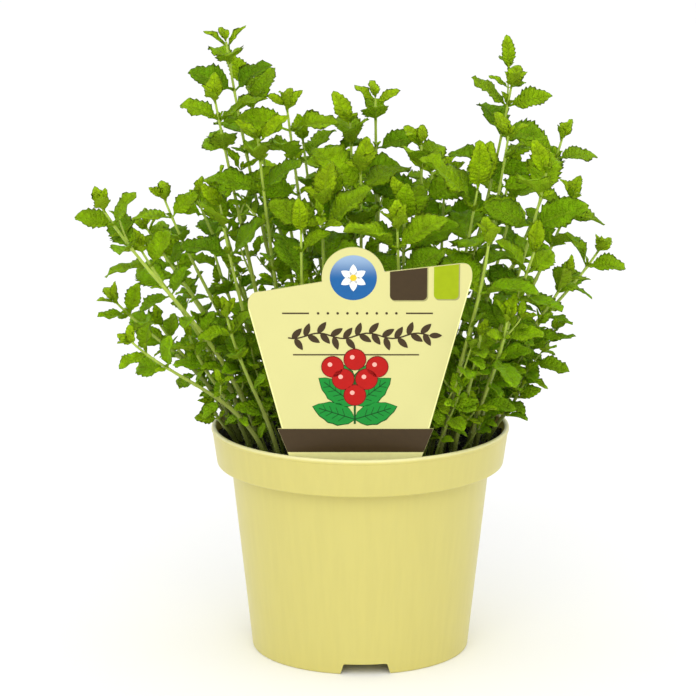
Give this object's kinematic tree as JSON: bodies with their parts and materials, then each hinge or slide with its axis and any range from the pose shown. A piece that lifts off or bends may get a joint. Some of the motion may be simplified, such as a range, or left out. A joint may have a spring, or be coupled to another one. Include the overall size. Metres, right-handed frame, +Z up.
{
  "type": "potted mint plant",
  "caption": "Bushy young mint plant rooted in compost in a tapered plastic pot with a wide collar, with a label card stuck in at the front; stands free on the pot's foot ring.",
  "frame": {"origin": "on the pot's axis, on the surface that the pot stands on, below the middle of the whole plant", "axes": "+Z up; -Y towards the front, where the label faces; +X to the right of the label"},
  "size_m": [0.2184, 0.1474, 0.2525],
  "materials": {
    "pot_plastic": "satin",
    "compost": "matte",
    "label_card": "satin",
    "mint_foliage": "satin"
  },
  "bodies": {
    "root": {"pot": "pot_plastic", "soil": "compost", "label": "label_card", "leafy_stem_01": "mint_foliage", "leafy_stem_02": "mint_foliage", "leafy_stem_03": "mint_foliage", "leafy_stem_04": "mint_foliage", "leafy_stem_05": "mint_foliage", "leafy_stem_06": "mint_foliage", "leafy_stem_07": "mint_foliage", "leafy_stem_08": "mint_foliage", "leafy_stem_09": "mint_foliage", "leafy_stem_10": "mint_foliage", "leafy_stem_11": "mint_foliage", "leafy_stem_12": "mint_foliage", "leafy_stem_13": "mint_foliage", "leafy_stem_14": "mint_foliage", "leafy_stem_15": "mint_foliage", "leafy_stem_16": "mint_foliage", "leafy_stem_17": "mint_foliage", "leafy_stem_18": "mint_foliage", "leafy_stem_19": "mint_foliage", "leafy_stem_20": "mint_foliage", "leafy_stem_21": "mint_foliage", "leafy_stem_22": "mint_foliage", "leafy_stem_23": "mint_foliage", "leafy_stem_24": "mint_foliage", "leafy_stem_25": "mint_foliage", "leafy_stem_26": "mint_foliage", "leafy_stem_27": "mint_foliage", "leafy_stem_28": "mint_foliage", "leafy_stem_29": "mint_foliage", "leafy_stem_30": "mint_foliage", "leafy_stem_31": "mint_foliage", "leafy_stem_32": "mint_foliage", "leafy_stem_33": "mint_foliage", "leafy_stem_34": "mint_foliage", "leafy_stem_35": "mint_foliage", "leafy_stem_36": "mint_foliage", "leafy_stem_37": "mint_foliage", "leafy_stem_38": "mint_foliage", "leafy_stem_39": "mint_foliage", "leafy_stem_40": "mint_foliage", "leafy_stem_41": "mint_foliage", "leafy_stem_42": "mint_foliage", "leafy_stem_43": "mint_foliage", "leafy_stem_44": "mint_foliage", "leafy_stem_45": "mint_foliage", "leafy_stem_46": "mint_foliage", "leafy_stem_47": "mint_foliage", "leafy_stem_48": "mint_foliage", "leafy_stem_49": "mint_foliage", "leafy_stem_50": "mint_foliage"}
  },
  "joints": []
}
